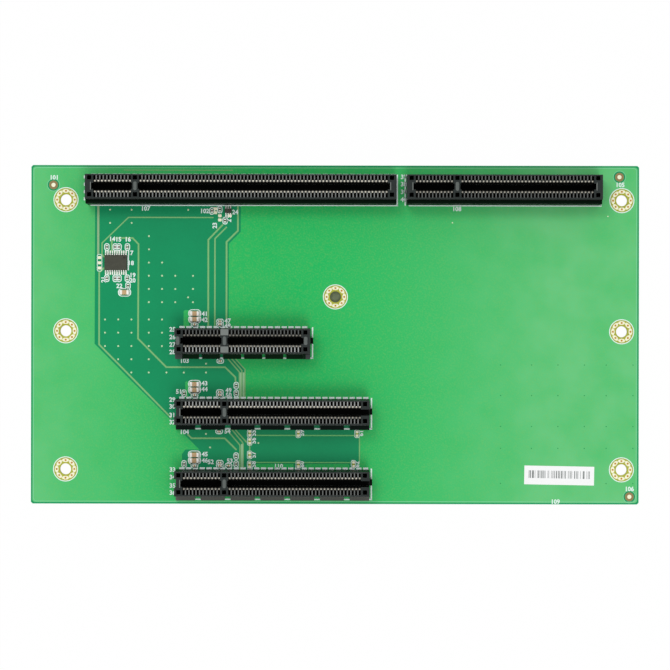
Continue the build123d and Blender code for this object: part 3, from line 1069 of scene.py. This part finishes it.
class BACKPLANE_OT_part_print(bpy.types.Operator):
    """Prints a rounded outline round each small part, and the chip's bar"""

    bl_idname = "backplane.part_print"
    bl_label = "Part print"

    def execute(self, context):
        look = context.scene.print_look
        shapes = []
        for node, long_gap, short_gap in (("chip_resistors", 0.46 * MM, 0.36 * MM),
                                          ("small_capacitors", 0.46 * MM, 0.36 * MM),
                                          ("bulk_capacitor_terminals", 0.62 * MM, 0.42 * MM)):
            low, high = solids_of(node)
            if node == "bulk_capacitor_terminals":
                low, high = paired(low, high)
            centre, half = (low + high) / 2, (high - low) / 2
            for (x, y, _), (hx, hy, _) in zip(centre, half):
                grown_x, grown_y = (long_gap, short_gap) if hx > hy else (short_gap, long_gap)
                hx, hy = hx + grown_x, hy + grown_y
                outline = rounded_outline(hx, hy, min(hx, hy) * 0.9, 4) + (x, y)
                shapes.append(print_line(look, outline, look.fine_width, closed=True))
        for x, y, half_y in in_mm([(x, y, 1.12) for x, y in PAD_PAIRS] + [(-67.8, 20.6, 2.4)]):
            outline = rounded_outline(0.66 * MM, half_y, 0.4 * MM, 3) + (x, y)
            shapes.append(print_line(look, outline, look.fine_width * 0.7, closed=True))
        low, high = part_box("clock_chip_body")
        bar = high.x + 0.3 * MM
        shapes.append(print_line(look, [(bar, low.y), (bar, high.y)], look.fine_width * 1.4))
        make_piece("part_outlines", joined(shapes), ink_finish(look))
        return {"FINISHED"}


class BACKPLANE_OT_numbers(bpy.types.Operator):
    """Prints the plain numbers beside the parts"""

    bl_idname = "backplane.numbers"
    bl_label = "Numbers"

    def execute(self, context):
        look = context.scene.print_look
        rise = look.ink_rise - 0.01 * MM
        numbers = [copies(number_shape(text, look.number_height, 0.02 * MM),
                          on_board(in_mm([x, y]), rise), quarter * math.pi / 2)
                   for text, x, y, quarter in NUMBERS]
        make_piece("printed_numbers", joined(numbers), ink_finish(look))
        return {"FINISHED"}


class BACKPLANE_OT_housings(bpy.types.Operator):
    """Finishes the slot housings and rounds their moulded edges"""

    bl_idname = "backplane.housings"
    bl_label = "Slot housings"

    def execute(self, context):
        look = context.scene.slot_look
        rounded = rounded_edge_finish(look)
        for name in SLOTS:
            plastic = slot_plastic_finish(look, name, display(*PAINTED_SLOT_LIGHT[name]["ledge_light_and_shade"]))
            finish_node("slot_housing_" + name, plastic, rounded)
            edge_rounded("slot_housing_" + name, look.edge_round)
        return {"FINISHED"}


class BACKPLANE_OT_ribs(bpy.types.Operator):
    """Makes the thin walls between neighbouring contacts, which the plain housings leave out"""

    bl_idname = "backplane.ribs"
    bl_label = "Slot ribs"

    def execute(self, context):
        look = context.scene.slot_look
        for name in SLOTS:
            # The ribs' greys are painted highlights, one for each row, on plastic as black as the walls.
            north, south = (display(grey, grey + 3, grey + 1) for grey in PAINTED_SLOT_LIGHT[name]["ribs"])
            finish = rib_finish(name, north, south)
            make_piece("slot_ribs_" + name, self.ribs(name, look), finish)
        return {"FINISHED"}

    def ribs(self, name, look):
        """One profile carried a rib's width along X, drawn in at both faces so that its edges are
        bevelled, set half way between contacts and mirrored for the other row."""
        along, middle = slot_places(name)
        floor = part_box("slot_contacts_" + name)[0].z
        top, inner, outer = SLOT_TOP - 0.05 * MM, look.rib_inner, look.rib_outer
        profile = np.array([(inner, floor), (outer, floor), (outer, top),
                            (1.95 * MM, top), (1.8 * MM, top - 0.15 * MM),
                            (1.6 * MM, top - 1.1 * MM), (inner, top - 1.9 * MM)])
        shrink = np.array([(0, 0), (0, 0), (0, -1), (0.6, -1), (-0.5, -0.5), (0.3, -0.5), (0.5, 0)])
        bevel, half = 0.07 * MM, look.rib_width / 2
        drawn_in = profile + shrink * bevel
        sections = np.stack([np.column_stack([np.full(len(p), x), p])
                             for x, p in ((-half, drawn_in), (bevel - half, profile),
                                          (half - bevel, profile), (half, drawn_in))])
        gaps = np.diff(along) < 1.5 * CONTACT_PITCH
        between = ((along[1:] + along[:-1]) / 2)[gaps]
        return both_rows(carried(sections), between, middle)


class BACKPLANE_OT_mouth_ends(bpy.types.Operator):
    """Adds the pale bars or rounded posts at both ends of each card slot, and the caps of the keys, all in
    colours that are painted highlights
    """

    bl_idname = "backplane.mouth_ends"
    bl_label = "Slot mouth ends"

    def execute(self, context):
        look = context.scene.slot_look
        # Pale bars and key plates, grey posts and key caps: painted highlights where the black moulding
        # catches the light.
        pale = plain_plastic_finish("slot_mouth_highlights", display(124, 130, 126))
        grey = plain_plastic_finish("slot_posts", look.rounded_edge)
        rounded_top = [(-1.2 * MM, 0), (-0.1 * MM, 0), (0.0, 0.05 * MM), (0.03 * MM, 0.14 * MM)]
        for name in SLOTS:
            along, middle = slot_places(name)
            first, last = along[0], along[-1]
            key = (along[CONTACTS_BEFORE_KEY - 1] + along[CONTACTS_BEFORE_KEY]) / 2
            if name == "4_lane":
                post = block(0.55 * MM, 1.25 * MM, rounded_top, 0.5 * MM, 4)
                levels = [(-0.3 * MM, 0), (0.0, 0), (0.02 * MM, 0.05 * MM)]
                plate = block(1.13 * MM, 0.87 * MM, levels, 0.15 * MM)
                spots = [(first - 1.82 * MM, middle, SLOT_TOP), (last + 1.57 * MM, middle, SLOT_TOP)]
                plates = [(key, middle + 2.42 * MM, SLOT_TOP), (key, middle - 2.5 * MM, SLOT_TOP)]
                make_piece("slot_posts_" + name, copies(post, spots), grey, smooth=40)
                make_piece("key_plates_" + name, copies(plate, plates), pale)
            else:
                bar = block(0.13 * MM, 1.15 * MM, [(-0.9 * MM, 0), (-0.02 * MM, 0), (0.02 * MM, 0.04 * MM)],
                            0.06 * MM)
                spots = [(first - 1.15 * MM, middle, SLOT_TOP)]
                if name not in LOWER_SLOTS:
                    spots.append((last + 1.15 * MM, middle, SLOT_TOP))
                make_piece("slot_mouth_bars_" + name, copies(bar, spots), pale, smooth=40)
            cap = block(0.52 * MM, 1.3 * MM, rounded_top, 0.48 * MM, 4)
            cap = shifted(cap, key, middle, SLOT_TOP)
            make_piece("key_cap_" + name, cap, grey, smooth=40)
        return {"FINISHED"}


class BACKPLANE_OT_contacts(bpy.types.Operator):
    """Makes the bent spring contacts in place of their plain solids"""

    bl_idname = "backplane.contacts"
    bl_label = "Spring contacts"

    def execute(self, context):
        look = context.scene.slot_look
        bend = np.array([(2.77, 0.0), (2.7, 1.6), (1.9, 3.4), (1.15, 4.4),
                         (1.02, 4.75), (1.25, 5.2), (1.72, 5.55)])
        for name in SLOTS:
            node = "slot_contacts_" + name
            along, middle = slot_places(name)
            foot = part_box(node)[0].z
            strip = bent_strip(smooth_path(bend * MM + np.array([0.0, foot]), 12), 0.44 * MM, 0.2 * MM)
            shape = both_rows(strip, along, middle)
            finish = contact_finish(look, name, *(display(grey, 0, 0)[0] for grey in PAINTED_SLOT_LIGHT[name]["tips"]))
            make_piece("spring_contacts_" + name, shape, finish, (node,), smooth=35)
        return {"FINISHED"}


class BACKPLANE_OT_chips(bpy.types.Operator):
    """Makes the two moulded chip bodies with their pin marks"""

    bl_idname = "backplane.chips"
    bl_label = "Chip bodies"

    def execute(self, context):
        look = context.scene.parts_look
        finish = chip_finish(look)
        dark = plain_plastic_finish("pin_mark", display(48, 48, 42))
        for chip, dot in (("clock_chip", 0.32 * MM), ("logic_chip", 0.1 * MM)):
            low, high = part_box(chip + "_body")
            half_x, half_y = (high.x - low.x) / 2, (high.y - low.y) / 2
            height, centre = high.z - low.z, (low + high) / 2
            draft = 0.1 * height
            levels = [(0, draft), (height / 2, 0), (height * 0.94, draft * 0.9), (height, draft * 1.6)]
            body = shifted(block(half_x, half_y, levels, 0.1 * MM), centre.x, centre.y, low.z)
            make_piece(chip + "_moulding", body, finish, (chip + "_body",), smooth=30)
            mark = round_stack(dot, [(0, 1.0), (0.012 * MM, 0.95)], 20)
            spot = (high.x - draft - dot * 2, high.y - draft - dot * 2, high.z)
            make_piece(chip + "_pin_mark", copies(mark, [spot]), dark)
        return {"FINISHED"}


class BACKPLANE_OT_leads(bpy.types.Operator):
    """Makes the chips' gull-wing leads and the tinned pads under their feet"""

    bl_idname = "backplane.leads"
    bl_label = "Chip leads"

    def execute(self, context):
        finish = tin_finish(context.scene.parts_look)
        for chip in ("clock_chip", "logic_chip"):
            body_low, body_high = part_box(chip + "_body")
            centre = (body_low + body_high) / 2
            self.leads(chip, centre, (body_high.y - body_low.y) / 2, finish)
        return {"FINISHED"}

    def leads(self, chip, centre, half_y, finish):
        """Each lead runs out of the body's side, down, and out along the board."""
        node = chip + "_leads"
        low, high = solids_of(node)
        reach = float((high[:, 1] - centre.y).max())
        rise = float(high[0, 2] - low[0, 2])
        floor = float(low[0, 2])
        start = min(half_y - 0.05 * MM, reach * 0.9)
        run = reach - start
        thick = min(0.15 * MM, rise * 0.35)
        path = np.array([(start, rise - thick / 2), (start + 0.3 * run, rise - thick / 2),
                         (start + 0.55 * run, thick), (start + 0.7 * run, thick / 2), (reach, thick / 2)])
        strip = bent_strip(smooth_path(path, 9), 0.32 * MM, thick)
        side = np.where((low[:, 1] + high[:, 1]) / 2 > centre.y, 1, -1)
        along = (low[:, 0] + high[:, 0]) / 2
        places = np.column_stack([along, np.full(len(low), centre.y), np.full(len(low), floor)])
        leads = copies(strip, places, mirror_y=side)
        make_piece(chip + "_bent_leads", leads, finish, (node,), smooth=35)
        pad = block(0.2 * MM, 0.55 * MM, [(0, 0), (0.05 * MM, 0.02 * MM)], 0.08 * MM)
        spots = np.column_stack([along, centre.y + side * (reach - 0.25 * MM)])
        make_piece(chip + "_lead_pads", copies(pad, on_board(spots)), finish)


class BACKPLANE_OT_bulk_capacitors(bpy.types.Operator):
    """Makes the bulk capacitors: a ceramic body, two end caps and their solder fillets"""

    bl_idname = "backplane.bulk_capacitors"
    bl_label = "Bulk capacitors"

    def execute(self, context):
        look = context.scene.parts_look
        tin = tin_finish(look)
        ceramic = ceramic_finish(look)
        for node, name, finish, slot, lap in (
                ("bulk_capacitor_bodies", "bulk_capacitor_ceramic", ceramic, "capacitor_ceramic", 0),
                ("bulk_capacitor_terminals", "bulk_capacitor_ends", tin, "tinned_metal", 0.1 * MM)):
            shapes = []
            for low, high in zip(*solids_of(node)):
                half, height, centre = (high - low) / 2, high[2] - low[2], (low + high) / 2
                edge = 0.08 * MM
                top = height + lap / 10
                levels = [(0, 0), (height - edge, 0), (height - edge * 0.3, edge * 0.3), (top, edge)]
                shape = block(half[0] + lap, half[1] + lap / 10, levels, edge)
                shapes.append(shifted(shape, centre[0], centre[1], low[2]))
            make_piece(name, joined(shapes), finish, (node,), smooth=30)
        low, high = paired(*solids_of("bulk_capacitor_terminals"))
        levels = [(0, 0), (0.3 * MM, 0.06 * MM), (0.75 * MM, 0.28 * MM)]
        fillet = block(0.46 * MM, 0.68 * MM, levels, 0.3 * MM, 4)
        ends = [(x, (y0 + y1) / 2) for (x0, y0, _), (x1, y1, _) in zip(low, high) for x in (x0, x1)]
        make_piece("bulk_capacitor_fillets", copies(fillet, on_board(ends)), tin, smooth=40)
        return {"FINISHED"}


class BACKPLANE_OT_small_parts(bpy.types.Operator):
    """Makes the small capacitors and resistors with their end caps and solder fillets"""

    bl_idname = "backplane.small_parts"
    bl_label = "Small capacitors and resistors"

    def execute(self, context):
        look = context.scene.parts_look
        tin = tin_finish(look)
        dark = plain_plastic_finish("resistor_body", display(96, 74, 52))
        self.two_ended("small_capacitors", "small_capacitor", ceramic_finish(look), "capacitor_ceramic", tin)
        self.two_ended("chip_resistors", "resistor", dark, "chip_plastic", tin)
        return {"FINISHED"}

    def two_ended(self, node, words, finish, slot, tin):
        """A body between two tinned end caps, each with a low fillet of solder, along its longer side."""
        bodies, ends = [], []
        for low, high in zip(*solids_of(node)):
            half, height, centre = (high - low) / 2, high[2] - low[2], (low + high) / 2
            upright = half[1] > half[0]
            turn = math.pi / 2 if upright else 0.0
            long, short = (half[1], half[0]) if upright else (half[0], half[1])
            spot = [(centre[0], centre[1], low[2])]
            edge = 0.05 * MM
            levels = [(0, 0), (height - edge, 0), (height - 0.02 * MM, edge)]
            body = block(long * 0.96, short * 0.96, levels, 0.06 * MM)
            bodies.append(copies(body, spot, turn))
            cap_half = long * 0.34
            cap = block(cap_half, short, [(0, 0), (height - edge, 0), (height, edge)], 0.08 * MM)
            levels = [(0, 0), (height * 0.15, 0.03 * MM), (height * 0.5, 0.16 * MM)]
            fillet = block(cap_half * 1.2, short * 1.25, levels, 0.14 * MM)
            for side in (-1, 1):
                ends.append(copies(shifted(cap, side * (long - cap_half)), spot, turn))
                ends.append(copies(shifted(fillet, side * (long - cap_half * 0.7)), spot, turn))
        make_piece(words + "_bodies", joined(bodies), finish, (node,), smooth=30)
        make_piece(words + "_ends", joined(ends), tin, smooth=30)


class BACKPLANE_OT_label(bpy.types.Operator):
    """Finishes the paper label and prints plain bars on it"""

    bl_idname = "backplane.label"
    bl_label = "Label"

    def execute(self, context):
        look = context.scene.parts_look
        finish_node("paper_label", paper_finish(look))
        low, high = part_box("paper_label")
        centre, turn = (low + high) / 2, math.radians(-1)
        rng = np.random.default_rng(7)
        most, room, half_height = 46, 17.5 * MM, 1.1 * MM
        widths = rng.choice([0.12, 0.2, 0.3], most, p=[0.5, 0.3, 0.2]) * MM
        gaps = rng.choice([0.16, 0.3, 0.6], most, p=[0.4, 0.35, 0.25]) * MM
        widths[[2, 31]] = 0.5 * MM
        starts = np.concatenate([[0], np.cumsum(widths + gaps)[:-1]])
        starts, widths = starts[starts < room], widths[starts < room]
        middle = (starts[-1] + widths[-1]) / 2
        levels = [(0, 0), (0.01 * MM, 0)]
        bars = [shifted(block(w / 2, half_height, levels, 0.02 * MM, 1), s + w / 2 - middle, 0.25 * MM)
                for s, w in zip(starts, widths)]
        shape = copies(joined(bars), [(centre.x, centre.y, high.z)], turn)
        make_piece("label_bars", shape, bar_finish(look))
        return {"FINISHED"}


class BACKPLANE_OT_underside(bpy.types.Operator):
    """Adds the solder joints of the contacts' tails below the board"""

    bl_idname = "backplane.underside"
    bl_label = "Solder joints below"

    def execute(self, context):
        finish = tin_finish(context.scene.parts_look)
        levels = [(0.0, 1.0), (-0.06 * MM, 0.85), (-0.14 * MM, 0.45), (-0.22 * MM, 0.38), (-0.24 * MM, 0.3)]
        joint = round_stack(0.45 * MM, levels, 10)
        for name in SLOTS:
            along, middle = slot_places(name)
            stagger = np.where(np.arange(len(along)) % 2, FAR_TAIL, NEAR_TAIL)
            both = np.tile(along, 2)
            across = middle + np.concatenate([stagger, -stagger])
            places = np.column_stack([both, across, np.full(len(both), BOARD_LOW.z)])
            make_piece("solder_joints_" + name, copies(joint, places), finish, smooth=40)
        return {"FINISHED"}


class BACKPLANE_OT_stage(bpy.types.Operator):
    """Makes the floor, the light and the camera"""

    bl_idname = "backplane.stage"
    bl_label = "Floor, light and camera"

    def execute(self, context):
        scene, look = context.scene, context.scene.stage_look
        self.floor()
        self.sky(scene, look)
        for name, (place, share) in LAMPS.items():
            self.lamp(scene, name, place, share * look.lamp)
        self.camera(scene, look)
        scene.view_settings.view_transform = "Standard"
        return {"FINISHED"}

    def floor(self):
        """A pale floor just below the board that shows white to the camera and keeps a faint shadow.
        The patch under the middle hole is painted shade, grey as that hole looks inside."""
        finish = Finish("pale_floor", (0.93, 0.93, 0.93), Roughness=0.9)
        seen = finish.node("ShaderNodeLightPath", {}, {}, "Is Camera Ray")
        shiny = finish.node("ShaderNodeLightPath", {}, {}, "Is Glossy Ray")
        glow = finish.node("ShaderNodeEmission", {}, {"Color": (1, 1, 1, 1), "Strength": 1.0})
        share = (seen * SEEN_WHITE + shiny * MIRRORED_WHITE).clamped()
        blend = finish.node("ShaderNodeMixShader", {}, {0: share, 2: glow})
        finish.tree.links.new(finish.shader.outputs[0], blend.out.node.inputs[1])
        output = finish.tree.nodes["Material Output"]
        finish.tree.links.new(blend.out, output.inputs["Surface"])
        far, low = 3.0, BOARD_LOW.z - FLOOR_GAP
        mesh = bpy.data.meshes.new("floor")
        corners = [(-far, -far, low), (far, -far, low), (far, far, low), (-far, far, low)]
        mesh.from_pydata(corners, [], [[0, 1, 2, 3]])
        mesh.materials.append(finish.material)
        self.show(bpy.data.objects.new("floor", mesh))
        grey = clouded_finish("shade_under_hole", display(136, 148, 120), display(104, 116, 92), 1.2, 0.8,
                              Roughness=0.9)
        points, faces = round_stack(2.2 * MM, [(0, 1.0), (0.1 * MM, 1.0)], 32)
        mesh = bpy.data.meshes.new("shade_under_hole")
        mesh.from_pydata((points + (*HOLES[-1], low + 0.05 * MM)).tolist(), [], faces)
        mesh.materials.append(grey.material)
        self.show(bpy.data.objects.new("shade_under_hole", mesh))

    def show(self, thing):
        """Puts a thing of the stage in the scene."""
        bpy.context.scene.collection.objects.link(thing)

    def sky(self, scene, look):
        """White light from all round."""
        world = bpy.data.worlds.new("soft_sky")
        world.use_nodes = True
        world.node_tree.nodes["Background"].inputs["Color"].default_value = (1, 1, 1, 1)
        world.node_tree.nodes["Background"].inputs["Strength"].default_value = look.sky
        scene.world = world

    def lamp(self, scene, name, place, power):
        """A wide soft lamp that shines on the middle of the board."""
        data = bpy.data.lights.new(name, "AREA")
        data.shape = "SQUARE"
        data.size = 0.4
        data.energy = power
        lamp = bpy.data.objects.new(name, data)
        lamp.location = place
        lamp.rotation_mode = "QUATERNION"
        lamp.rotation_quaternion = (-lamp.location).to_track_quat("-Z", "Y")
        scene.collection.objects.link(lamp)

    def camera(self, scene, look):
        """Looks straight down on the board, as the photograph does."""
        data = bpy.data.cameras.new("camera")
        data.lens = look.camera_lens
        data.sensor_width = 36.0
        data.clip_start, data.clip_end = 0.05, 20.0
        camera = bpy.data.objects.new("camera", data)
        camera.location = (0.0, -0.07 * MM, BOARD_TOP + look.camera_rise)
        camera.rotation_euler = (0.0, 0.0, look.camera_turn)
        scene.collection.objects.link(camera)
        scene.camera = camera


class BACKPLANE_PT_panel(bpy.types.Panel):
    """The steps that dress the backplane, in order"""

    bl_idname = "BACKPLANE_PT_panel"
    bl_label = "Riser card backplane"
    bl_space_type = "VIEW_3D"
    bl_region_type = "UI"
    bl_category = "Backplane"

    def draw(self, context):
        for look in LOOKS:
            for setting in look.__annotations__:
                self.layout.prop(getattr(context.scene, LOOKS[look]), setting)
        for step in STEPS:
            self.layout.operator(step.bl_idname)


LOOKS = {BoardLook: "board_look", PrintLook: "print_look", SlotLook: "slot_look", PartsLook: "parts_look",
         StageLook: "stage_look"}
STEPS = (BACKPLANE_OT_board, BACKPLANE_OT_copper_planes, BACKPLANE_OT_traces, BACKPLANE_OT_vias,
         BACKPLANE_OT_hole_rings, BACKPLANE_OT_pads, BACKPLANE_OT_sighting_marks, BACKPLANE_OT_slot_print,
         BACKPLANE_OT_part_print, BACKPLANE_OT_numbers, BACKPLANE_OT_housings, BACKPLANE_OT_ribs,
         BACKPLANE_OT_mouth_ends, BACKPLANE_OT_contacts, BACKPLANE_OT_chips, BACKPLANE_OT_leads,
         BACKPLANE_OT_bulk_capacitors, BACKPLANE_OT_small_parts, BACKPLANE_OT_label, BACKPLANE_OT_underside,
         BACKPLANE_OT_stage)


def register():
    for look, name in LOOKS.items():
        bpy.utils.register_class(look)
        setattr(bpy.types.Scene, name, bpy.props.PointerProperty(type=look))
    for entry in (*STEPS, BACKPLANE_PT_panel):
        bpy.utils.register_class(entry)


def unregister():
    for entry in (BACKPLANE_PT_panel, *reversed(STEPS)):
        bpy.utils.unregister_class(entry)
    for look, name in LOOKS.items():
        delattr(bpy.types.Scene, name)
        bpy.utils.unregister_class(look)


def main():
    """Registers the add-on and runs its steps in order."""
    register()
    for step in STEPS:
        getattr(bpy.ops.backplane, step.bl_idname.split(".")[1])()


if __name__ == "__main__":
    main()
